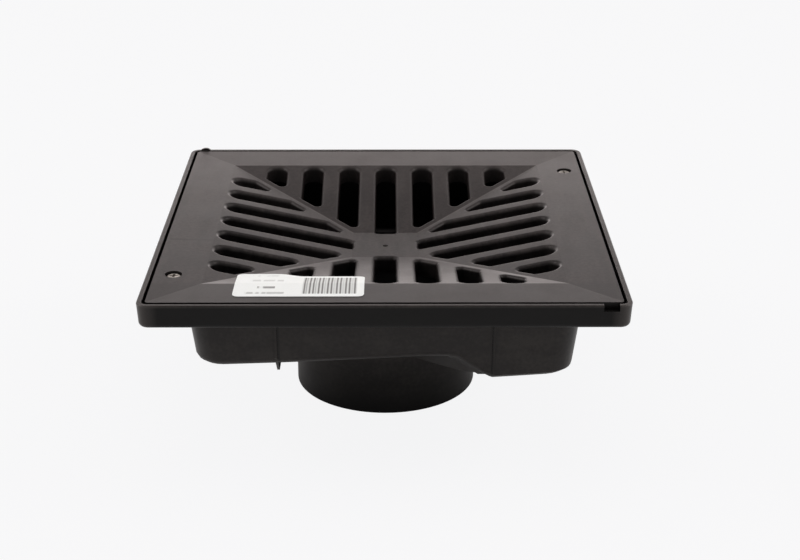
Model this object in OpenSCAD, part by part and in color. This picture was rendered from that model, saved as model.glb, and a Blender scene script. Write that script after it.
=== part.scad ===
// Square drainage pit top: a moulded pit body with a round outlet, closed by a dished slotted grate.
// Origin at the centre of the outlet's foot, +Z up, the labelled side of the grate towards -Y.
// Lengths are in millimetres.

/* [Rim] */
// Outside width of the square rim
rim_w = 250; // [240:1:262]
// Height of the rim's outer skirt
rim_h = 13; // [10:0.5:14]
// Width of the rim's lip beside the grate
rim_lip = 2.6; // [2:0.1:3.4]
// Outside corner radius of the rim
rim_corner = 6; // [3.2:0.2:7]
// Thickness of the flange that carries the grate
flange_t = 2.5; // [2:0.1:3.5]
// Draft of the rim's skirt in degrees
rim_draft = 3.2; // [1:0.2:5]

/* [Body] */
// Distance from the grate's edge in to the body's walls
ledge_w = 17.1; // [14:0.1:20]
// Outside corner radius of the body
body_corner = 13; // [8:1:18]
// Draft of the body's walls in degrees
body_draft = 6.5; // [3:0.5:9]
// Wall and floor thickness of the body
wall_t = 2.5; // [2:0.1:3]
// Outside radius between the wall and the floor
floor_fillet = 5; // [4:0.5:7]
// Depth of the floor below the rim at the shallow start of its turn
floor_start = 41.7; // [40:0.1:44]
// Depth of the floor at the corner left of the start
floor_left = 46.4; // [45:0.1:48]
// Depth of the floor at the corner right of the start
floor_right = 51.8; // [49:0.1:53]
// Depth of the channel that curls into the outlet
channel_depth = 54.2; // [53.5:0.1:58]
// Thickness of the stiffening webs under the floor
web_t = 1.4; // [1:0.1:2.4]
// Gap between each web and the outlet
web_gap = 4.2; // [3:0.1:7]
// Height of the webs proud of the front and back walls
web_proud = 0.9; // [0.5:0.1:2]

/* [Outlet] */
// Outside diameter of the outlet
outlet_d = 104.2; // [96:0.2:106]
// Wall thickness of the outlet
outlet_t = 2.6; // [2.2:0.1:3.4]
// Height of the whole part
total_h = 98.5; // [88:0.5:115]

/* [Grate] */
// Gap between the grate and the rim
grate_gap = 1.8; // [1:0.1:2.4]
// Clearance of the dish inside the body's walls
dish_clear = 6.3; // [3.5:0.1:9]
// Thickness of the border
border_t = 3.3; // [2.6:0.1:4]
// Fall of the border from its outer edge to the dish
border_fall = 0.7; // [0.2:0.1:1.2]
// Depth of the dish below its own edge
dish_fall = 16; // [10:0.5:18]
// Half width of the flat at the middle of the dish
dish_flat = 19; // [17:0.5:22]
// Depth of the bars
bar_h = 9.8; // [7:0.2:12]
// Slots along each side of the dish
slot_count = 7; // [5, 7]
// Distance from the dish's edge to the middle of the outermost slots
slot_edge = 27.2; // [25:0.2:32]
// Width of a slot
slot_w = 11.8; // [9:0.2:13]
// Distance from a mitre line to the ends of the slots, measured along a slot
slot_hip = 6.8; // [5.5:0.1:9]
// Corner radius at the inner ends of the slots
slot_corner = 2.2; // [1.4:0.1:3]

/* [Screws and label] */
// Outside diameter of a screw's head
screw_head_d = 8; // [7:0.1:8.6]
// Diameter of a screw's shank
screw_d = 4.2; // [3.8:0.1:4.6]
// Clearance around a screw's shank
screw_clear = 0.3; // [0.1:0.05:0.5]
// Distance from the grate's edge in to a screw
screw_inset = 9.9; // [9:0.1:10.5]
// Length of the label
label_l = 67; // [50:1:70]
// Width of the label, centred on the dish's edge
label_w = 36.4; // [26:0.2:36.6]
// Height of the label's back corner above the bars
label_lift = 1.5; // [0:0.1:2]

/* [Hidden] */
$fn = 96;
big = 400;
rim_z = total_h;
rim_half = rim_w / 2;
rim_core = rim_half - rim_corner;
flange_under = rim_z - rim_h;
flange_top = flange_under + flange_t;
rim_round = 2.6;
pocket_half = rim_half - rim_lip;
pocket_draft = 0.4;
grate_half = pocket_half - grate_gap;
grate_corner = 2;
body_half = grate_half - ledge_w;
dish_half = body_half - wall_t - dish_clear;
border_z = rim_z - border_fall;
flat_z = border_z - dish_fall;
skirt_t = 2.4;
seat_half = dish_half + 2.5;
slot_rim = 2;
slot_pitch = 2 * (dish_half - slot_edge) / (slot_count - 1);
outlet_r = outlet_d / 2;
bore_r = outlet_r - outlet_t;
mouth_r = outlet_r - outlet_t / 2;
wall_top_z = flange_top - 1.3;
web_z = rim_z - channel_depth - 0.4;
web_x = outlet_r + web_gap + web_t / 2;
root_w = 1.2;
screw_x = grate_half - screw_inset;
screw_y = 0.75 * screw_x;
screw_places = [[-screw_x, -screw_y], [screw_x, screw_y]];
head_h = 2.4;
head_seat_z = rim_z - 3.5;
boss_h = 13;
notch_w = 8;
notch_x = grate_half - 6.6;
nub_w = 6.6;
nub_h = 1.3;
nub_x = grate_half - 4.6;
end_angle = -60.3;
start_angle = 16;
left_angle = 71;
right_angle = 348;
curl_angle = 35;
ramp_slope = 0.87;
label_t = 0.2;
label_at = [-0.465 * dish_half, -dish_half];

// Half width of the body's outside at a height
function wall_half(z) = body_half - (flange_under - z) * tan(body_draft);

// Turn around the body, clockwise from where the channel leaves the front wall
function turn(a) = (end_angle - a + 720) % 360;

// Distance of the channel's outer edge from the axis, between the outlet and the floor's edge
function channel_edge(t, floor_r) = t < curl_angle
    ? mouth_r + (floor_r - mouth_r) * pow(1 - t / curl_angle, 1.1)
    : mouth_r + (floor_r - mouth_r) * pow((t - curl_angle) / (360 - curl_angle), 0.85);

// Depth of the floor beside the wall
function shallow(t) = lookup(t, [
    [start_angle, floor_start],
    [left_angle, floor_left],
    [right_angle, floor_right],
    [360, channel_depth]
]);

// Depth of the floor at a distance from the axis
function floor_depth(r, t, floor_r) =
    max(shallow(t), channel_depth - ramp_slope * max(0, r - channel_edge(t, floor_r)));

// Outline of the body with a half width of one, counter-clockwise from above
plan_corner = body_corner / body_half;
plan_side = 1 - plan_corner;
plan = [
    for (side = [0:3])
        let (steps = side == 0 ? 36 : 14)
        for (i = [0:steps + 5])
            let (
                arc = (i - steps) * 15,
                x = i < steps ? plan_side * (2 * i / steps - 1) : plan_side + plan_corner * sin(arc),
                y = i < steps ? -1 : -plan_side - plan_corner * cos(arc)
            )
            [x * cos(side * 90) - y * sin(side * 90), x * sin(side * 90) + y * cos(side * 90)]
];
columns = len(plan);

// One column of the body's skin, from the top of the wall down its outside and up its inside
function skin_column(p) =
    let (
        m = norm(p),
        t = turn(atan2(p[1], p[0])),
        edge = wall_half(rim_z - (floor_left + channel_depth) / 2 + floor_fillet) - floor_fillet,
        edge_r = m * edge,
        depth = floor_depth(edge_r, t, edge_r),
        base = rim_z - depth,
        turn_z = base + floor_fillet,
        ramp = (channel_depth - shallow(t)) / ramp_slope,
        low_r = channel_edge(t, edge_r),
        r1 = min(max(low_r + ramp, mouth_r + 6), edge_r - 3),
        r2 = min(max(low_r, mouth_r + 3), r1 - 2),
        inner = floor_fillet - wall_t + 0.6,
        z1 = rim_z - floor_depth(r1, t, edge_r),
        z2 = rim_z - floor_depth(r2, t, edge_r),
        z3 = rim_z - channel_depth,
        out_half = edge + floor_fillet,
        in_half = out_half - wall_t,
        in_z = base + wall_t + inner
    )
    concat(
        [[m * wall_half(wall_top_z), wall_top_z], [m * (wall_half(turn_z)), turn_z]],
        [for (a = [30, 60]) [m * (out_half - floor_fillet * (1 - cos(a))), turn_z - floor_fillet * sin(a)]],
        [[edge_r, base], [r1, z1], [r2, z2], [mouth_r, z3]],
        [[mouth_r, z3 + wall_t], [r2, z2 + wall_t], [r1, z1 + wall_t]],
        [[m * (in_half - inner), base + wall_t]],
        [for (a = [60, 30]) [m * (in_half - inner * (1 - cos(a))), in_z - inner * sin(a)]],
        [[m * (wall_half(in_z) - wall_t), in_z], [m * (wall_half(wall_top_z) - wall_t), wall_top_z]]
    );

// Rounded square with straight sides
module rounded_square(w, r) {
    square([w, w - 2 * r], center = true);
    square([w - 2 * r, w], center = true);
    for (x = [-1, 1], y = [-1, 1])
        translate([x * (w / 2 - r), y * (w / 2 - r)])
            circle(r);
}

// Square solid with rounded corners, its sides following a profile of [distance out from core, z]
module moulded_square(core, profile) {
    outer = [for (p = profile) [core + p[0], p[1]]];
    both = concat(outer, [for (i = [len(outer) - 1:-1:0]) [-outer[i][0], outer[i][1]]]);
    low = profile[len(profile) - 1][1];
    for (a = [0, 90])
        rotate([0, 0, a])
            rotate([90, 0, 0])
                linear_extrude(height = 2 * core, center = true)
                    polygon(both);
    for (x = [-1, 1], y = [-1, 1])
        translate([x * core, y * core, 0])
            rotate_extrude()
                polygon(concat([[0, profile[0][1]]], profile, [[0, low]]));
}

// Rim and flange that carry the grate
module rim() {
    slope = tan(rim_draft);
    round_z = flange_under + rim_round;
    side = rim_corner - (rim_z - round_z) * slope;
    turned = [for (a = [0:18:90]) [side - rim_round * (1 - cos(a)), round_z - rim_round * sin(a)]];
    pocket = pocket_half - rim_core;
    difference() {
        moulded_square(rim_core, concat([[rim_corner - 0.5, rim_z], [rim_corner, rim_z - 0.5]], turned));
        moulded_square(rim_core, [
            [pocket + 1, rim_z + 1],
            [pocket, rim_z - 0.3],
            [pocket - pocket_draft, flange_top]
        ]);
        translate([0, 0, flange_under - 1])
            linear_extrude(height = flange_t + 2)
                rounded_square(2 * (wall_half(wall_top_z) - wall_t + 0.6), body_corner - 1);
        translate([notch_x - notch_w / 2, -rim_half - 1, rim_z - 3.4])
            cube([notch_w, rim_lip + 3, 5]);
    }
    nub_r = (nub_w * nub_w / 4 + nub_h * nub_h) / (2 * nub_h);
    translate([-nub_x, rim_half - 0.5, rim_z + nub_h - nub_r])
        rotate([90, 0, 0])
            cylinder(h = rim_lip - 0.9, r = nub_r);
}

// Walls and turning floor of the body
module skin() {
    rings = [for (p = plan) [for (q = skin_column(p)) [p[0] / norm(p) * q[0], p[1] / norm(p) * q[0], q[1]]]];
    rows = len(rings[0]);
    points = [for (ring = rings) for (q = ring) q];
    faces = [
        for (j = [0:columns - 1])
            for (i = [0:rows - 1])
                let (
                    k = (j + 1) % columns,
                    n = (i + 1) % rows
                )
                each [
                    [j * rows + i, k * rows + i, k * rows + n],
                    [j * rows + i, k * rows + n, j * rows + n]
                ]
    ];
    polyhedron(points, faces);
}

// Middle of the floor's thickness above a point of the plan
function mid_z(x, y, edge) =
    let (
        r = norm([x, y]),
        t = turn(atan2(y, x)),
        floor_r = edge * r / max(abs(x), abs(y))
    )
    rim_z - floor_depth(min(r, floor_r), t, floor_r) + wall_t / 2;

// Web under the floor that also stands a little proud of the front and back walls
module web(x) {
    edge = wall_half(rim_z - (floor_left + channel_depth) / 2 + floor_fillet) - floor_fillet;
    reach = edge - 4.3;
    mid = floor_fillet - wall_t / 2;
    top = wall_top_z - 0.4;
    front_z = mid_z(x, -edge, edge) + mid;
    back_z = mid_z(x, edge, edge) + mid;
    under = [
        [-wall_half(top) - web_proud, top],
        [-wall_half(front_z) - web_proud, front_z],
        [-edge + 9, web_z],
        [edge - 9, web_z],
        [wall_half(back_z) + web_proud, back_z],
        [wall_half(top) + web_proud, top]
    ];
    wall_b = [
        [wall_half(top) - wall_t / 2, top],
        [edge + mid, back_z]
    ];
    floor_m = [for (i = [0:8]) let (y = reach * (1 - i / 4)) [y, mid_z(x, y, edge)]];
    wall_f = [
        [-edge - mid, front_z],
        [-wall_half(top) + wall_t / 2, top]
    ];
    translate([x - web_t / 2, 0, 0])
        rotate([90, 0, 90])
            linear_extrude(height = web_t)
                polygon(concat(under, wall_b, floor_m, wall_f));
}

// Round outlet, with a small shoulder where it joins the floor
module outlet() {
    floor_z = rim_z - channel_depth;
    difference() {
        union() {
            cylinder(h = floor_z, r = outlet_r);
            translate([0, 0, floor_z - root_w])
                cylinder(h = root_w, r1 = outlet_r, r2 = outlet_r + root_w);
            translate([0, 0, floor_z - 0.01])
                cylinder(h = wall_t - 0.2, r = outlet_r + root_w);
        }
        translate([0, 0, -1])
            cylinder(h = rim_z, r = bore_r);
    }
}

// Rim, walls, floor, webs, screw bosses and outlet in one moulding
module pit_body() {
    color("#232325")
        difference() {
            union() {
                rim();
                skin();
                web(web_x);
                web(-web_x);
                outlet();
                for (p = screw_places)
                    translate([p[0], p[1], flange_under - boss_h])
                        cylinder(h = boss_h + flange_t / 2, r = screw_d / 2 + 2.2);
            }
            for (p = screw_places)
                translate([p[0], p[1], flange_under - boss_h + 2])
                    cylinder(h = boss_h + flange_t, r = screw_d / 2);
        }
}

// Height of the grate's top at a distance from the centre, square to the sides
top_line = [[0, flat_z], [dish_flat, flat_z], [dish_half, border_z], [grate_half, rim_z]];

// Solid under the grate's top surface
module below_top() {
    right = [for (p = top_line) p];
    left = [for (i = [len(top_line) - 1:-1:1]) [-top_line[i][0], top_line[i][1]]];
    for (a = [0, 90])
        rotate([0, 0, a])
            rotate([90, 0, 0])
                linear_extrude(height = 2 * grate_half, center = true)
                    polygon(concat(left, right, [[grate_half, 20], [-grate_half, 20]]));
}

// Solid above the underside of the bars
module above_bars() {
    slope = (border_z - flat_z) / (dish_half - dish_flat);
    low = flat_z - bar_h;
    high = low + (seat_half - dish_flat) * slope;
    line = [
        [-seat_half, rim_z + 5],
        [-seat_half, high],
        [-dish_flat, low],
        [dish_flat, low],
        [seat_half, high],
        [seat_half, rim_z + 5]
    ];
    intersection_for (a = [0, 90])
        rotate([0, 0, a])
            rotate([90, 0, 0])
                linear_extrude(height = 2 * seat_half, center = true)
                    polygon(line);
}

// Points of a rounded corner between the directions from one point to its two neighbours
function round_corner(a, b, c, r) =
    let (
        u = (a - b) / norm(a - b),
        v = (c - b) / norm(c - b),
        half = acos(u * v) / 2,
        mid = (u + v) / norm(u + v),
        centre = b + mid * r / sin(half),
        p = b + u * r / tan(half),
        q = b + v * r / tan(half),
        p0 = atan2(p[1] - centre[1], p[0] - centre[0]),
        q0 = atan2(q[1] - centre[1], q[0] - centre[0]),
        sweep = (q0 - p0 + 540) % 360 - 180
    )
    [for (i = [0:4]) centre + r * [cos(p0 + sweep * i / 4), sin(p0 + sweep * i / 4)]];

// One slot running towards +X, at a distance y from the middle of its side
module slot(y) {
    end_x = dish_half - slot_rim - slot_w / 2;
    lo = y - slot_w / 2;
    hi = y + slot_w / 2;
    a = [max(dish_flat, abs(lo) + slot_hip), lo];
    b = [max(dish_flat, abs(hi) + slot_hip), hi];
    inner = concat(
        round_corner([end_x, hi], b, a, slot_corner),
        round_corner(b, a, [end_x, lo], slot_corner)
    );
    polygon(concat(inner, [[end_x, lo], [end_x, hi]]));
    translate([end_x, y])
        circle(slot_w / 2);
}

// Every slot of the dish
module slots() {
    for (a = [0:90:270])
        rotate([0, 0, a])
            for (i = [0:slot_count - 1])
                slot((i - (slot_count - 1) / 2) * slot_pitch);
}

// Grate with its border, its outer wall and its ribs underneath
module grate() {
    core = grate_half - grate_corner;
    wall_in = grate_half - skirt_t;
    plate_z = border_z - border_t;
    color("#2a2a2c")
        difference() {
            union() {
                intersection() {
                    below_top();
                    union() {
                        above_bars();
                        difference() {
                            moulded_square(core, [
                                [grate_corner, rim_z + 1],
                                [grate_corner, rim_z - 3],
                                [grate_corner - 0.3, flange_top]
                            ]);
                            translate([0, 0, flange_top - 1])
                                linear_extrude(height = plate_z - flange_top + 1)
                                    rounded_square(2 * wall_in, 1);
                            translate([0, 0, flange_top - 1])
                                linear_extrude(height = rim_h + 2)
                                    square(2 * seat_half - 2, center = true);
                        }
                        for (a = [0:90:270])
                            rotate([0, 0, a])
                                for (i = [-3:3])
                                    translate([i * slot_pitch * 7 / slot_count, seat_half + 9, 0])
                                        translate([-1, -10.5, flange_top + 1])
                                            cube([2, wall_in - seat_half + 2.5, plate_z - flange_top]);
                    }
                }
                for (p = screw_places)
                    translate([p[0], p[1], flange_top])
                        cylinder(h = plate_z - flange_top + 1, r = screw_head_d / 2 + 2);
            }
            translate([0, 0, flat_z - bar_h - 1])
                linear_extrude(height = rim_z)
                    slots();
            for (p = screw_places)
                translate([p[0], p[1], 0]) {
                    translate([0, 0, flange_top - 1])
                        cylinder(h = rim_z, r = screw_d / 2 + screw_clear);
                    translate([0, 0, head_seat_z])
                        cylinder(h = rim_h, r = screw_head_d / 2 + 0.5);
                }
            translate([0, -1.6, flat_z - 0.5])
                cylinder(h = 5, r = 1.2);
        }
}

// Pan head screw with a cross recess
module screw() {
    r = screw_head_d / 2;
    difference() {
        union() {
            translate([0, 0, head_seat_z])
                rotate_extrude()
                    polygon(concat(
                        [[0, 0], [r - 0.2, 0], [r, 0.3]],
                        [for (a = [0:15:90]) [r - 1.4 + 1.4 * cos(a), head_h - 1.4 + 1.4 * sin(a)]],
                        [[0, head_h]]
                    ));
            translate([0, 0, flange_under - boss_h + 5])
                cylinder(h = head_seat_z - flange_under + boss_h - 4.5, r = screw_d / 2 - 0.05);
            translate([0, 0, flange_under - boss_h + 3])
                cylinder(h = 2.01, r1 = 0.4, r2 = screw_d / 2 - 0.05);
        }
        for (a = [0, 90])
            rotate([0, 0, a])
                translate([-screw_head_d * 0.27, -0.5, head_seat_z + head_h - 1.3])
                    cube([screw_head_d * 0.54, 1, 3]);
    }
}

// Two screws that hold the grate down
module grate_screws() {
    color("#8f9092")
        for (p = screw_places)
            translate([p[0], p[1], 0])
                screw();
}

// Thin sheet bent down at the dish's edge, one end of its back lifted off the bars
module bent_sheet() {
    slope = dish_fall / (dish_half - dish_flat);
    rise = border_fall / (grate_half - dish_half);
    reach = label_w / 2 + 1;
    left = label_at[0] - label_l / 2 - 1;
    bend = label_at[0] - 0.2 * label_l;
    columns = [[left, label_lift], [bend, label_lift], [bend + 9, 0], [left + label_l + 2, 0]];
    low = [
        for (c = columns)
            each [
                [c[0], label_at[1] - reach, border_z + reach * rise],
                [c[0], label_at[1], border_z],
                [c[0], label_at[1] + reach, border_z - reach * slope + c[1]]
            ]
    ];
    up = [for (p = low) p + [0, 0, label_t]];
    faces = [
        for (a = [0, 3, 6])
            each [
                for (p = [a, a + 1])
                    each [
                        [p + 12, p + 13, p + 16],
                        [p + 12, p + 16, p + 15],
                        [p, p + 4, p + 1],
                        [p, p + 3, p + 4]
                    ],
                [a, a + 12, a + 15, a + 3],
                [a + 5, a + 17, a + 14, a + 2]
            ]
    ];
    polyhedron(concat(low, up), concat(faces, [[0, 1, 2, 14, 13, 12], [21, 22, 23, 11, 10, 9]]));
}

// Plain label over the front border and the edge of the dish
module label() {
    r = 2.2;
    color("#e8e8e6")
        intersection() {
            translate([label_at[0], label_at[1], flat_z])
                linear_extrude(height = dish_fall + 6) {
                    square([label_l, label_w - 2 * r], center = true);
                    square([label_l - 2 * r, label_w], center = true);
                    for (x = [-1, 1], y = [-1, 1])
                        translate([x * (label_l / 2 - r), y * (label_w / 2 - r)])
                            circle(r);
                }
            bent_sheet();
        }
}

pit_body();
grate();
grate_screws();
label();
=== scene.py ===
import math

import bmesh
import bpy
from mathutils import Matrix, Vector
from mathutils.bvhtree import BVHTree


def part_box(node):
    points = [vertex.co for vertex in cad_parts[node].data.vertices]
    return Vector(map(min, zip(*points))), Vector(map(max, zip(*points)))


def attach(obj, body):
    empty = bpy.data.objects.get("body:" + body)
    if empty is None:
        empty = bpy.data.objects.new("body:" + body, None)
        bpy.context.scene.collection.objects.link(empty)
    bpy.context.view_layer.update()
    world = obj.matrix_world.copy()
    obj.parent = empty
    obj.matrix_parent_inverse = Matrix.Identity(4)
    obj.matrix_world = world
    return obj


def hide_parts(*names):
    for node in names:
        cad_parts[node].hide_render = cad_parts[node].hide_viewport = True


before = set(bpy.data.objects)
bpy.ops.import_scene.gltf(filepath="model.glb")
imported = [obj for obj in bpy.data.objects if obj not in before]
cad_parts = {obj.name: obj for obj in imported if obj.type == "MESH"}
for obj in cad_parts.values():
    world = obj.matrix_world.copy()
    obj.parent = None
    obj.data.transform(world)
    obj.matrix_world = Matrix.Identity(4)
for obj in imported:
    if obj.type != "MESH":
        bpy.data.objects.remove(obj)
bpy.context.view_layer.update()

MM = 0.001

# Size of the object, read from the frame
rim_low, rim_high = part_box("pit_body")
rim_half = (rim_high.x - rim_low.x) / 2
rim_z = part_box("grate")[1].z

# Distances of the dish's edge and of its flat middle from the axis
DISH_HALF = 94.7 * MM
DISH_FLAT = 19 * MM

# Fall of the dish from its edge to the flat middle, and of the border from the rim to the dish
DISH_SLOPE = 16 / 75.7
BORDER_FALL = 0.7 * MM
BORDER_SLOPE = 0.7 / 25.9


def linear(hex_colour):
    """sRGB hex colour as linear red, green, blue and alpha."""
    values = [int(hex_colour[i:i + 2], 16) / 255 for i in (1, 3, 5)]
    return [v / 12.92 if v < 0.04045 else ((v + 0.055) / 1.055) ** 2.4 for v in values] + [1.0]


def add(tree, kind, inputs=None, **settings):
    """Adds a node with its settings, values and links."""
    node = tree.nodes.new(kind)
    for key, value in settings.items():
        setattr(node, key, value)
    for key, value in (inputs or {}).items():
        if isinstance(value, bpy.types.NodeSocket):
            tree.links.new(value, node.inputs[key])
        else:
            node.inputs[key].default_value = value
    return node


def blank(name):
    """New material and its node tree, emptied."""
    material = bpy.data.materials.new(name)
    material.use_nodes = True
    tree = material.node_tree
    tree.nodes.clear()
    return material, tree


def field(tree, x, y, box):
    """One inside a rectangle given in millimetres as left, right, front and back, and nought outside it."""
    left, right, front, back = (v * MM for v in box)
    along = add(tree, "ShaderNodeMath", {
        0: x,
        1: (left + right) / 2,
        2: (right - left) / 2,
    }, operation="COMPARE")
    across = add(tree, "ShaderNodeMath", {
        0: y,
        1: (front + back) / 2,
        2: (back - front) / 2,
    }, operation="COMPARE")
    both = add(tree, "ShaderNodeMath", {
        0: along.outputs["Value"],
        1: across.outputs["Value"],
    }, operation="MULTIPLY")
    return both.outputs["Value"]


def over(tree, colour, top, share):
    """One colour laid over another, by a share that may change over the surface."""
    return add(tree, "ShaderNodeMix", {0: share, 6: colour, 7: linear(top)}, data_type="RGBA").outputs[2]


def grate_tones(tree, place, colour):
    """Painted sheen towards the back and painted shade on the front border, painted highlights along the
    folds, one dark flow line, and painted shade in the slots.
    """
    parts = add(tree, "ShaderNodeSeparateXYZ", {"Vector": place})
    x = add(tree, "ShaderNodeMath", {0: parts.outputs["X"]}, operation="ABSOLUTE").outputs["Value"]
    y = add(tree, "ShaderNodeMath", {0: parts.outputs["Y"]}, operation="ABSOLUTE").outputs["Value"]
    reach = add(tree, "ShaderNodeMath", {0: x, 1: y}, operation="MAXIMUM").outputs["Value"]
    # Painted highlights along the mitres, 1.4 mm wide, strong in the dish and faint on the border
    mitre = add(tree, "ShaderNodeMath", {0: x, 1: y, 2: 0.7 * MM}, operation="COMPARE").outputs["Value"]
    strength = add(tree, "ShaderNodeMapRange", {
        "Value": reach,
        "From Min": DISH_HALF,
        "From Max": DISH_HALF + 1 * MM,
        "To Min": 0.45,
        "To Max": 0.14,
    }).outputs["Result"]
    sloping = add(tree, "ShaderNodeMath", {0: reach, 1: DISH_FLAT}, operation="GREATER_THAN")
    painted_highlight_lines = add(tree, "ShaderNodeMath", {0: mitre, 1: sloping.outputs["Value"]}, operation="MULTIPLY")
    painted_highlight_lines = add(tree, "ShaderNodeMath", {0: painted_highlight_lines.outputs["Value"], 1: strength}, operation="MULTIPLY")
    # A painted highlight runs along the dish's back edge too
    edge = field(tree, parts.outputs["X"], parts.outputs["Y"], (-94.7, 94.7, 94.6, 95.6))
    painted_highlight_lines = add(tree, "ShaderNodeMath", {
        0: edge,
        1: 0.35,
        2: painted_highlight_lines.outputs["Value"],
    }, operation="MULTIPLY_ADD").outputs["Value"]
    # Where two flows of plastic met on the left border
    flow = field(tree, parts.outputs["X"], parts.outputs["Y"], (-119.0, -94.1, -34.1, -32.2))
    flow = add(tree, "ShaderNodeMath", {0: flow, 1: 0.8}, operation="MULTIPLY").outputs["Value"]
    # Painted sheen grows towards the back, and painted shade darkens the front border
    painted_back_sheen = add(tree, "ShaderNodeMapRange", {
        "Value": parts.outputs["Y"],
        "From Min": 0.0,
        "From Max": 120 * MM,
        "To Min": 0.0,
        "To Max": 0.45,
    }).outputs["Result"]
    painted_front_shade = add(tree, "ShaderNodeMapRange", {
        "Value": parts.outputs["Y"],
        "From Min": -92 * MM,
        "From Max": -98 * MM,
        "To Min": 0.0,
        "To Max": 0.6,
    }).outputs["Result"]
    toned = over(tree, over(tree, colour, "#4a4544", painted_back_sheen), "#0e0c0c", painted_front_shade)
    toned = over(tree, over(tree, toned, "#5c5755", painted_highlight_lines), "#0b0a0a", flow)
    # Painted shade covers the steep sides of the slots, sheen and highlights included
    normal = add(tree, "ShaderNodeTexCoord").outputs["Normal"]
    painted_slot_shade = add(tree, "ShaderNodeMapRange", {
        "Value": add(tree, "ShaderNodeSeparateXYZ", {"Vector": normal}).outputs["Z"],
        "From Min": 0.7,
        "From Max": 0.2,
        "To Min": 0.0,
        "To Max": 0.6,
    }).outputs["Result"]
    return over(tree, toned, "#080707", painted_slot_shade)


def side_tones(tree, place, colour):
    """Painted light and shade: darkest on the skirt, the foot and the inside, paler on the walls and the
    lip, with painted highlights on the skirt's corners and painted shade beside the webs.
    """
    parts = add(tree, "ShaderNodeSeparateXYZ", {"Vector": place})
    # Painted light and shade at each share of the height: foot, outlet, walls, skirt and lip
    height = add(tree, "ShaderNodeMath", {
        0: parts.outputs["Z"],
        1: rim_z,
    }, operation="DIVIDE").outputs["Value"]
    painted_height_shade = add(tree, "ShaderNodeValToRGB", {"Fac": height})
    steps = (
        (0.0, 0.12),
        (0.3, 0.9),
        (0.42, 1.3),
        (0.455, 1.0),
        (0.855, 0.9),
        (0.872, 0.1),
        (0.985, 0.1),
        (0.993, 1.0),
    )
    for i, (position, tone) in enumerate(steps):
        if i > 1:
            painted_height_shade.color_ramp.elements.new(position)
        painted_height_shade.color_ramp.elements[i].position = position
        painted_height_shade.color_ramp.elements[i].color = (tone, tone, tone, 1.0)
    # Faces turned away from the axis, and the lip, keep their tone, and the inside is darkened with painted
    # shade
    level = add(tree, "ShaderNodeVectorMath", {0: place, 1: (1, 1, 0)}, operation="MULTIPLY")
    facing = add(tree, "ShaderNodeVectorMath", {
        0: level.outputs["Vector"],
        1: add(tree, "ShaderNodeTexCoord").outputs["Normal"],
    }, operation="DOT_PRODUCT").outputs["Value"]
    outward = add(tree, "ShaderNodeMapRange", {
        "Value": facing,
        "From Min": 0.0,
        "From Max": 30 * MM,
        "To Min": 0.0,
        "To Max": 1.0,
    }).outputs["Result"]
    lip = add(tree, "ShaderNodeMath", {0: height, 1: 0.99}, operation="GREATER_THAN").outputs["Value"]
    shown = add(tree, "ShaderNodeMath", {0: outward, 1: lip}, operation="MAXIMUM").outputs["Value"]
    painted_inside_shade = add(tree, "ShaderNodeMath", {0: 1.0, 1: shown}, operation="SUBTRACT").outputs["Value"]
    toned = add(tree, "ShaderNodeMix", {
        0: 1.0,
        6: colour,
        7: over(tree, painted_height_shade.outputs["Color"], "#1c1c1c", painted_inside_shade),
    }, data_type="RGBA", blend_type="MULTIPLY").outputs[2]
    # The skirt's corners are painted pale for about 8 mm, a painted highlight
    x = add(tree, "ShaderNodeMath", {0: parts.outputs["X"]}, operation="ABSOLUTE").outputs["Value"]
    y = add(tree, "ShaderNodeMath", {0: parts.outputs["Y"]}, operation="ABSOLUTE").outputs["Value"]
    least = add(tree, "ShaderNodeMath", {0: x, 1: y}, operation="MINIMUM").outputs["Value"]
    corner = add(tree, "ShaderNodeMapRange", {
        "Value": least,
        "From Min": rim_half - 11 * MM,
        "From Max": rim_half - 2 * MM,
        "To Min": 0.0,
        "To Max": 0.75,
    }).outputs["Result"]
    painted_corner_highlight = add(tree, "ShaderNodeMath", {0: corner, 1: outward}, operation="MULTIPLY").outputs["Value"]
    # The wall is darkened beside each web with painted shade
    for left, right in ((-56.3, -54.9), (56.0, 57.0)):
        root = field(tree, parts.outputs["X"], parts.outputs["Z"], (left, right, 44, 85))
        painted_web_shade = add(tree, "ShaderNodeMath", {0: root, 1: 0.6}, operation="MULTIPLY").outputs["Value"]
        toned = over(tree, toned, "#131212", painted_web_shade)
    return over(tree, toned, "#4f4b49", painted_corner_highlight)


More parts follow.
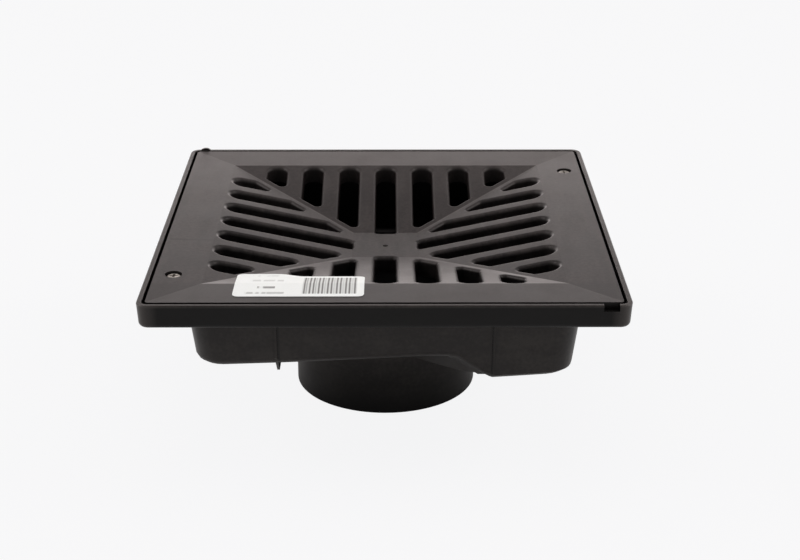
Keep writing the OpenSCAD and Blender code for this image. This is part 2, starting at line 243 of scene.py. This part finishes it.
def moulded_polypropylene(name, dark, light, roughness, flow, tones_and_painted_light):
    """Black polypropylene, injection moulded: satin, nearly black face on and grey at a slant."""
    material, tree = blank(name)
    place = add(tree, "ShaderNodeTexCoord").outputs["Object"]
    # Flow marks run for several centimetres along the moulding, about 8 mm apart
    stretched = add(tree, "ShaderNodeMapping", {"Vector": place, "Scale": flow}).outputs["Vector"]
    marks = add(tree, "ShaderNodeTexNoise", {"Vector": stretched, "Scale": 1 / (8 * MM), "Detail": 3.0})
    # Dust and handling marks are patches of about 25 mm
    dust = add(tree, "ShaderNodeTexNoise", {"Vector": place, "Scale": 1 / (25 * MM), "Detail": 6.0})
    blend = add(tree, "ShaderNodeMath", {
        0: marks.outputs["Fac"],
        1: dust.outputs["Fac"],
    }, operation="MULTIPLY")
    # The skin is mottled in spots of about 2 mm
    mottling = add(tree, "ShaderNodeTexNoise", {"Vector": place, "Scale": 1 / (2 * MM), "Detail": 2.0})
    blend = add(tree, "ShaderNodeMath", {
        0: mottling.outputs["Fac"],
        1: 0.5,
        2: blend.outputs["Value"],
    }, operation="MULTIPLY_ADD")
    colour = add(tree, "ShaderNodeValToRGB", {"Fac": blend.outputs["Value"]})
    colour.color_ramp.elements[0].position = 0.4
    colour.color_ramp.elements[0].color = linear(dark)
    colour.color_ramp.elements[1].position = 0.67
    colour.color_ramp.elements[1].color = linear(light)
    gloss = add(tree, "ShaderNodeMapRange", {
        "Value": dust.outputs["Fac"],
        "From Min": 0.35,
        "From Max": 0.65,
        "To Min": roughness - 0.04,
        "To Max": roughness + 0.05,
    })
    # Fine spark-eroded mould texture, 0.4 mm across, drawn as coarse as it needs to show
    grain = add(tree, "ShaderNodeTexNoise", {"Vector": place, "Scale": 1 / (0.4 * MM), "Detail": 2.0})
    bump = add(tree, "ShaderNodeBump", {
        "Height": grain.outputs["Fac"],
        "Strength": 0.1,
        "Distance": 0.1 * MM,
    })
    # The base colour carries the painted light and shade laid on by the tones function
    shader = add(tree, "ShaderNodeBsdfPrincipled", {
        "Base Color": tones_and_painted_light(tree, place, colour.outputs["Color"]),
        "Roughness": gloss.outputs["Result"],
        "Normal": bump.outputs["Normal"],
        "IOR": 1.49,
        "Specular IOR Level": 0.2,
    })
    add(tree, "ShaderNodeOutputMaterial", {"Surface": shader.outputs["BSDF"]})
    return material


def zinc_plated_steel():
    """Zinc-plated steel: a dull bright metal with a grey bloom in spots."""
    material, tree = blank("zinc plated steel")
    place = add(tree, "ShaderNodeTexCoord").outputs["Object"]
    # Bloom of the plating in spots of about 1 mm
    bloom = add(tree, "ShaderNodeTexNoise", {"Vector": place, "Scale": 1 / (1 * MM), "Detail": 4.0})
    colour = add(tree, "ShaderNodeValToRGB", {"Fac": bloom.outputs["Fac"]})
    colour.color_ramp.elements[0].position = 0.35
    colour.color_ramp.elements[0].color = linear("#8a8782")
    colour.color_ramp.elements[1].position = 0.7
    colour.color_ramp.elements[1].color = linear("#d4d0c8")
    shader = add(tree, "ShaderNodeBsdfPrincipled", {
        "Base Color": colour.outputs["Color"],
        "Metallic": 1.0,
        "Roughness": 0.42,
    })
    add(tree, "ShaderNodeOutputMaterial", {"Surface": shader.outputs["BSDF"]})
    return material


def printed_paper():
    """Matte white label paper with uneven bars and broken grey strips printed on it."""
    material, tree = blank("printed label paper")
    place = add(tree, "ShaderNodeTexCoord").outputs["Object"]
    parts = add(tree, "ShaderNodeSeparateXYZ", {"Vector": place})
    x, y = parts.outputs["X"], parts.outputs["Y"]
    fibres = add(tree, "ShaderNodeTexNoise", {"Vector": place, "Scale": 1 / (0.8 * MM), "Detail": 3.0})
    paper = add(tree, "ShaderNodeValToRGB", {"Fac": fibres.outputs["Fac"]})
    paper.color_ramp.elements[0].color = linear("#ecf1ef")
    paper.color_ramp.elements[1].color = linear("#f8fcfb")
    # Each strip is broken into dashes of 2 to 4 mm
    stretched = add(tree, "ShaderNodeMapping", {"Vector": place, "Scale": (1, 0.12, 0)}).outputs["Vector"]
    marks = add(tree, "ShaderNodeTexNoise", {"Vector": stretched, "Scale": 1 / (2.6 * MM), "Detail": 0.0})
    broken = add(tree, "ShaderNodeMapRange", {
        "Value": marks.outputs["Fac"],
        "From Min": 0.36,
        "From Max": 0.5,
        "To Min": 0.1,
        "To Max": 1.0,
    }).outputs["Result"]
    ink = 0.0
    # Left, right, front and back of each strip in millimetres, and how dark it is
    rows = (
        (-69.2, -55.2, -81.8, -78.8, 0.16),
        (-69.9, -52.5, -91.1, -87.9, 0.25),
        (-65.6, -56.4, -101.9, -99.2, 0.7),
        (-71.7, -51.3, -109.5, -106.9, 0.4),
    )
    for left, right, front, back, share in rows:
        row = field(tree, x, y, (left, right, front, back))
        ink = add(tree, "ShaderNodeMath", {0: row, 1: share, 2: ink}, operation="MULTIPLY_ADD")
        ink = ink.outputs["Value"]
    ink = add(tree, "ShaderNodeMath", {0: ink, 1: broken}, operation="MULTIPLY").outputs["Value"]
    # Bars from two regular pitches, of 1.55 and 2.3 mm
    waves = 0.0
    for pitch in (1.55, 2.3):
        turned = add(tree, "ShaderNodeMath", {0: x, 1: 2 * math.pi / (pitch * MM)}, operation="MULTIPLY")
        wave = add(tree, "ShaderNodeMath", {0: turned.outputs["Value"]}, operation="SINE").outputs["Value"]
        waves = add(tree, "ShaderNodeMath", {0: wave, 1: waves}, operation="ADD").outputs["Value"]
    dark = add(tree, "ShaderNodeMapRange", {
        "Value": waves,
        "From Min": -0.2,
        "From Max": 0.6,
        "To Min": 0.25,
        "To Max": 0.85,
    }).outputs["Result"]
    bars = field(tree, x, y, (-42.3, -14.3, -109.2, -80.3))
    ink = add(tree, "ShaderNodeMath", {0: bars, 1: dark, 2: ink}, operation="MULTIPLY_ADD").outputs["Value"]
    shader = add(tree, "ShaderNodeBsdfPrincipled", {
        "Base Color": over(tree, paper.outputs["Color"], "#3d3a39", ink),
        "Roughness": 0.6,
        "IOR": 1.45,
    })
    add(tree, "ShaderNodeOutputMaterial", {"Surface": shader.outputs["BSDF"]})
    return material


def cleaned_copy(node):
    """Copy of a CAD node with its flat faces joined up, ready for modifiers."""
    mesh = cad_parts[node].data.copy()
    piece = bpy.data.objects.new("moulded_" + node, mesh)
    bpy.context.scene.collection.objects.link(piece)
    form = bmesh.new()
    form.from_mesh(mesh)
    bmesh.ops.remove_doubles(form, verts=form.verts, dist=0.002 * MM)
    bmesh.ops.dissolve_limit(
        form,
        angle_limit=math.radians(0.3),
        verts=form.verts,
        edges=form.edges,
    )
    form.to_mesh(mesh)
    form.free()
    return piece


def apply_modifiers(piece):
    """Turns what the modifiers make into the piece's own mesh."""
    bpy.context.view_layer.update()
    shaped = piece.evaluated_get(bpy.context.evaluated_depsgraph_get())
    mesh = bpy.data.meshes.new_from_object(shaped)
    piece.modifiers.clear()
    piece.data = mesh


def round_edges(piece, width, skipped=()):
    """Rounds a piece's sharp edges as a mould leaves them, apart from the edges given by their vertices."""
    piece.data.attributes.new("bevel_weight_edge", "FLOAT", "EDGE")
    form = bmesh.new()
    form.from_mesh(piece.data)
    layer = form.edges.layers.float["bevel_weight_edge"]
    for edge in form.edges:
        kept = frozenset(v.index for v in edge.verts) not in skipped
        if kept and edge.is_manifold and edge.calc_face_angle() > math.radians(35):
            edge[layer] = 1.0
    form.to_mesh(piece.data)
    form.free()
    bevel = piece.modifiers.new("edges", "BEVEL")
    bevel.width = width
    bevel.segments = 2
    bevel.limit_method = "WEIGHT"
    bevel.use_clamp_overlap = True
    apply_modifiers(piece)


def finish_normals(piece, folds=()):
    """Smooth shading with flat faces kept flat, and crisp folds on squares and on their mitres."""
    piece.data.shade_smooth()
    piece.data.set_sharp_from_angle(angle=math.radians(30))
    for edge in piece.data.edges:
        ends = [piece.data.vertices[i].co for i in edge.vertices]
        mitred = all(abs(abs(v.x) - abs(v.y)) < 0.02 * MM for v in ends)
        reaches = [max(abs(v.x), abs(v.y)) for v in ends]
        level = any(all(abs(reach - fold) < 0.02 * MM for reach in reaches) for fold in folds)
        if folds and (mitred or level):
            edge.use_edge_sharp = True
    flat = piece.modifiers.new("flat faces", "WEIGHTED_NORMAL")
    flat.keep_sharp = True
    apply_modifiers(piece)


def flatten_planes(mesh):
    """Takes the last trace of smoothing off the wide flat faces of the dish and the border."""
    normals = [Vector(corner.vector) for corner in mesh.corner_normals]
    for face in mesh.polygons:
        if face.area > 4 * MM * MM and face.normal.z > 0.9:
            for i in face.loop_indices:
                normals[i] = Vector(face.normal)
    mesh.normals_split_custom_set(normals)


def slot_loops(mesh):
    """Upper edges of the grate's slots, each a closed loop of vertex numbers with its plan normals."""
    form = bmesh.new()
    form.from_mesh(mesh)
    form.verts.ensure_lookup_table()
    steps = {}
    gate_mark = 5 * MM
    slots_end = rim_half - 28 * MM
    for edge in form.edges:
        if not edge.is_manifold:
            continue
        wall, top = sorted(edge.link_faces, key=lambda f: abs(f.normal.z))
        middle = (edge.verts[0].co + edge.verts[1].co) / 2
        reach = max(abs(middle.x), abs(middle.y))
        if abs(wall.normal.z) < 0.05 and top.normal.z > 0.9 and gate_mark < reach < slots_end:
            for a, b in (edge.verts, reversed(edge.verts)):
                steps.setdefault(a.index, []).append((b.index, wall.normal.xy.copy()))
    loops = []
    used = set()
    for start in steps:
        if start in used:
            continue
        loop = [start]
        used.add(start)
        while True:
            onward = [n for n, _ in steps[loop[-1]] if n not in used]
            if not onward:
                break
            loop.append(onward[0])
            used.add(onward[0])
        normals = []
        for index in loop:
            one, two = (-normal.normalized() for _, normal in steps[index][:2])
            normals.append((one + two) / (1 + one.dot(two)))
        loops.append((loop, normals))
    form.free()
    return loops


def slot_roundings(mesh, loops, radius):
    """Closed cutters, one round each slot, whose sides turn from the grate's top down into the slot."""
    tree = BVHTree.FromPolygons([v.co for v in mesh.vertices], [p.vertices for p in mesh.polygons])
    above = rim_z + 4 * MM
    below = min(v.co.z for v in mesh.vertices) - 2 * MM
    # Distance out from the slot's edge, and depth below the top there, None for the cutter's foot
    profile = [(-0.8 * MM, None)]
    for degrees in range(84, 11, -9):
        turn = math.radians(degrees)
        profile.append((radius * (1 - math.sin(turn)), radius * (1 - math.cos(turn))))
    profile.append((radius + 0.7 * MM, -0.1 * MM))
    form = bmesh.new()
    for loop, normals in loops:
        rings = []
        for offset, depth in profile:
            ring = []
            for index, normal in zip(loop, normals):
                corner = mesh.vertices[index].co
                spot = corner.xy + normal * offset
                if depth is None:
                    height = below
                else:
                    hit = tree.ray_cast(Vector((spot.x, spot.y, above)), Vector((0, 0, -1)))[0]
                    height = (hit.z if hit and hit.z > corner.z - 2 * MM else corner.z) - depth
                ring.append(form.verts.new((spot.x, spot.y, height)))
            rings.append(ring)
        rings.append([form.verts.new((v.co.x, v.co.y, above)) for v in rings[-1]])
        count = len(loop)
        for low, high in zip(rings, rings[1:]):
            for i in range(count):
                k = (i + 1) % count
                form.faces.new((low[i], low[k], high[k], high[i]))
        form.faces.new(list(reversed(rings[0])))
        form.faces.new(rings[-1])
    # Gate mark in the middle of the dish, a shallow conical pit
    middle = tree.ray_cast(Vector((4 * MM, 0, above)), Vector((0, 0, -1)))[0].z
    bmesh.ops.create_cone(
        form,
        cap_ends=True,
        segments=32,
        radius1=1.0 * MM,
        radius2=2.4 * MM,
        depth=6 * MM,
        matrix=Matrix.Translation((0, -1.6 * MM, middle + 0.6 * MM)),
    )
    bmesh.ops.triangulate(form, faces=[f for f in form.faces if len(f.verts) == 4])
    bmesh.ops.recalc_face_normals(form, faces=form.faces)
    cutter = bpy.data.meshes.new("slot roundings")
    form.to_mesh(cutter)
    form.free()
    return cutter


def dished_grate():
    """Grate with the upper edges of its slots rounded and its other edges just broken."""
    piece = cleaned_copy("grate")
    loops = slot_loops(piece.data)
    cutter = bpy.data.objects.new("slot roundings", slot_roundings(piece.data, loops, 2.4 * MM))
    bpy.context.scene.collection.objects.link(cutter)
    rims = {frozenset((loop[i - 1], loop[i])) for loop, _ in loops for i in range(len(loop))}
    round_edges(piece, 0.3 * MM, rims)
    cut = piece.modifiers.new("slots", "BOOLEAN")
    cut.operation = "DIFFERENCE"
    cut.solver = "EXACT"
    cut.object = cutter
    apply_modifiers(piece)
    bpy.data.objects.remove(cutter)
    finish_normals(piece, folds=(DISH_FLAT, DISH_HALF))
    flatten_planes(piece.data)
    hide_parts("grate")
    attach(piece, "root")
    return piece


def edged_copy(node, width):
    """Copy of a CAD node with its edges slightly rounded, as a mould leaves them."""
    piece = cleaned_copy(node)
    round_edges(piece, width)
    finish_normals(piece)
    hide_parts(node)
    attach(piece, "root")
    return piece


def paper_label():
    """Label bent over the dish's edge, the left part of its back edge lifting off the bars."""
    length, width, radius, thick = 67 * MM, 36.4 * MM, 3.2 * MM, 0.2 * MM
    left = -0.465 * DISH_HALF - length / 2
    half = width / 2
    fold_z = rim_z - BORDER_FALL
    columns = 48
    # Distances of the rows from the front edge, close together at the rounded corners
    near = [0, 0.3 * MM, 0.9 * MM, 1.8 * MM, radius, 8 * MM, 13 * MM]
    rows = near + [half] + [width - e for e in reversed(near)]
    form = bmesh.new()
    grid = []
    for e in rows:
        corner = radius - min(e, width - e)
        inset = radius - math.sqrt(radius ** 2 - corner ** 2) if corner > 0 else 0
        line = []
        for i in range(columns + 1):
            x = left + inset + (length - 2 * inset) * i / columns
            # The lift ends smoothly between 56 and 42 mm left of the axis
            share = min(1, max(0, (x + 56 * MM) / (14 * MM)))
            lift = 1.4 * MM * (1 - share * share * (3 - 2 * share))
            beyond = e - half
            if beyond > 0:
                z = fold_z - beyond * DISH_SLOPE + lift * beyond / half
            else:
                z = fold_z - beyond * BORDER_SLOPE
            spot = (x, e - half - DISH_HALF)
            line.append((form.verts.new((*spot, z)), form.verts.new((*spot, z + thick))))
        grid.append(line)
    for low, high in zip(grid, grid[1:]):
        for i in range(columns):
            form.faces.new((low[i][1], low[i + 1][1], high[i + 1][1], high[i][1]))
            form.faces.new((low[i][0], high[i][0], high[i + 1][0], low[i + 1][0]))
        for i, turn in ((0, 1), (columns, -1)):
            side = (low[i][0], low[i][1], high[i][1], high[i][0])
            form.faces.new(side[::turn])
    for row, turn in ((grid[0], 1), (grid[-1], -1)):
        for i in range(columns):
            side = (row[i][0], row[i + 1][0], row[i + 1][1], row[i][1])
            form.faces.new(side[::turn])
    bmesh.ops.recalc_face_normals(form, faces=form.faces)
    mesh = bpy.data.meshes.new("paper_label")
    form.to_mesh(mesh)
    form.free()
    piece = bpy.data.objects.new("paper_label", mesh)
    bpy.context.scene.collection.objects.link(piece)
    finish_normals(piece, folds=(DISH_HALF,))
    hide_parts("label")
    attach(piece, "root")
    return piece


def dress(piece, material):
    """Gives a piece one material."""
    piece.data.materials.clear()
    piece.data.materials.append(material)


grate_finish = moulded_polypropylene(
    "black moulded polypropylene, grate", "#181515", "#302c2b", 0.34, (1, 0.2, 1), grate_tones)
body_finish = moulded_polypropylene(
    "black moulded polypropylene, body", "#252221", "#312e2c", 0.32, (0.3, 0.3, 1), side_tones)

grate = dished_grate()
dress(grate, grate_finish)

body = edged_copy("pit_body", 0.3 * MM)
dress(body, body_finish)

screws = edged_copy("grate_screws", 0.12 * MM)
dress(screws, zinc_plated_steel())

label = paper_label()
dress(label, printed_paper())


def studio_floor():
    """Pale floor seen as a white sheet with a faint shadow, which reflections lose towards the viewer."""
    bpy.ops.mesh.primitive_plane_add(size=12, location=(0, 0, 0))
    floor = bpy.context.object
    floor.name = "floor"
    material, tree = blank("pale studio floor")
    path = add(tree, "ShaderNodeLightPath")
    diffuse = add(tree, "ShaderNodeBsdfDiffuse", {"Color": linear("#e6e6e6")})
    glow = add(tree, "ShaderNodeEmission", {"Color": linear("#fafafb"), "Strength": 1.0})
    # Reflections find it white behind and beside the object, and dark in front and close under it
    place = add(tree, "ShaderNodeTexCoord").outputs["Object"]
    parts = add(tree, "ShaderNodeSeparateXYZ", {"Vector": place})
    lit = add(tree, "ShaderNodeMapRange", {
        "Value": parts.outputs["Y"],
        "From Min": -340 * MM,
        "From Max": -100 * MM,
        "To Min": 0.1,
        "To Max": 0.9,
    }).outputs["Result"]
    distance = add(tree, "ShaderNodeVectorMath", {0: place}, operation="LENGTH").outputs["Value"]
    clear = add(tree, "ShaderNodeMapRange", {
        "Value": distance,
        "From Min": 120 * MM,
        "From Max": 240 * MM,
        "To Min": 0.1,
        "To Max": 0.9,
    }).outputs["Result"]
    mirrored = add(tree, "ShaderNodeMath", {0: lit, 1: clear}, operation="MINIMUM").outputs["Value"]
    mirrored = add(tree, "ShaderNodeMath", {
        0: path.outputs["Is Glossy Ray"],
        1: mirrored,
    }, operation="MULTIPLY")
    share = add(tree, "ShaderNodeMath", {
        0: path.outputs["Is Camera Ray"],
        1: 0.93,
        2: mirrored.outputs["Value"],
    }, operation="MULTIPLY_ADD")
    mixed = add(tree, "ShaderNodeMixShader", {
        0: share.outputs["Value"],
        1: diffuse.outputs["BSDF"],
        2: glow.outputs["Emission"],
    })
    add(tree, "ShaderNodeOutputMaterial", {"Surface": mixed.outputs["Shader"]})
    dress(floor, material)


def studio_world():
    """White surroundings, brightest low down behind the object and dimmer towards the viewer."""
    world = bpy.data.worlds.new("studio")
    bpy.context.scene.world = world
    world.use_nodes = True
    tree = world.node_tree
    tree.nodes.clear()
    path = add(tree, "ShaderNodeLightPath")
    # The camera and reflections see this white, and the object is lit by a plain grey fill
    seen = add(tree, "ShaderNodeMath", {
        0: path.outputs["Is Camera Ray"],
        1: path.outputs["Is Glossy Ray"],
    }, operation="MAXIMUM")
    direction = add(tree, "ShaderNodeTexCoord").outputs["Generated"]
    parts = add(tree, "ShaderNodeSeparateXYZ", {"Vector": direction})
    height = add(tree, "ShaderNodeValToRGB", {"Fac": parts.outputs["Z"]})
    height.color_ramp.elements[0].position = 0.1
    height.color_ramp.elements[0].color = linear("#fdf4f2")
    height.color_ramp.elements[1].position = 0.8
    height.color_ramp.elements[1].color = linear("#cac2c1")
    dimmed = add(tree, "ShaderNodeMapRange", {
        "Value": parts.outputs["Y"],
        "From Min": 0.2,
        "From Max": -0.7,
        "To Min": 0.0,
        "To Max": 0.5,
    }).outputs["Result"]
    strength = add(tree, "ShaderNodeMath", {
        0: dimmed,
        1: path.outputs["Is Glossy Ray"],
    }, operation="MULTIPLY")
    strength = add(tree, "ShaderNodeMath", {0: 1.0, 1: strength.outputs["Value"]}, operation="SUBTRACT")
    white = add(tree, "ShaderNodeBackground", {
        "Color": height.outputs["Color"],
        "Strength": strength.outputs["Value"],
    })
    fill = add(tree, "ShaderNodeBackground", {"Color": linear("#ffffff"), "Strength": 0.45})
    mixed = add(tree, "ShaderNodeMixShader", {
        0: seen.outputs["Value"],
        1: fill.outputs["Background"],
        2: white.outputs["Background"],
    })
    add(tree, "ShaderNodeOutputWorld", {"Surface": mixed.outputs["Shader"]})


def soft_lamp(name, place, aim, size, watts):
    """Area lamp that points at a place."""
    data = bpy.data.lights.new(name, "AREA")
    data.shape = "RECTANGLE"
    data.size = size[0]
    data.size_y = size[1]
    data.energy = watts
    data.color = linear("#fff5f3")[:3]
    lamp = bpy.data.objects.new(name, data)
    bpy.context.scene.collection.objects.link(lamp)
    lamp.location = place
    lamp.rotation_euler = (Vector(aim) - Vector(place)).to_track_quat("-Z", "Y").to_euler()


def photo_camera():
    """Camera at the photograph's height, distance and tilt."""
    yaw, pitch, roll = (math.radians(a) for a in (0.334, 22.913, 0.078))
    place = (3.5 * MM, -846.7 * MM, rim_z + 319.1 * MM)
    focal_pixels, frame_pixels, sensor = 1579.3, 800, 36.0
    forward = Vector((math.sin(yaw) * math.cos(pitch), math.cos(yaw) * math.cos(pitch), -math.sin(pitch)))
    right = Vector((math.cos(yaw), -math.sin(yaw), 0))
    up = right.cross(forward)
    turned_right = math.cos(roll) * right + math.sin(roll) * up
    turned_up = math.cos(roll) * up - math.sin(roll) * right
    axes = Matrix((turned_right, turned_up, -forward)).transposed()
    data = bpy.data.cameras.new("camera")
    data.sensor_width = sensor
    data.lens = sensor * focal_pixels / frame_pixels
    camera = bpy.data.objects.new("camera", data)
    bpy.context.scene.collection.objects.link(camera)
    camera.matrix_world = Matrix.Translation(place) @ axes.to_4x4()
    bpy.context.scene.camera = camera


studio_floor()
studio_world()
soft_lamp("lamp_over", (0.0, 0.1, 1.5), (0, 0, 0.05), (1.4, 1.4), 5)
soft_lamp("lamp_back", (0.0, 2.3, 0.31), (0, 0, 0.1), (2.6, 0.62), 11)
soft_lamp("lamp_left", (-1.4, 0.15, 1.2), (0, 0, 0.08), (0.9, 0.8), 8)
soft_lamp("lamp_right", (1.4, 0.15, 1.2), (0, 0, 0.08), (0.9, 0.8), 8)
photo_camera()
bpy.context.scene.view_settings.view_transform = "Standard"
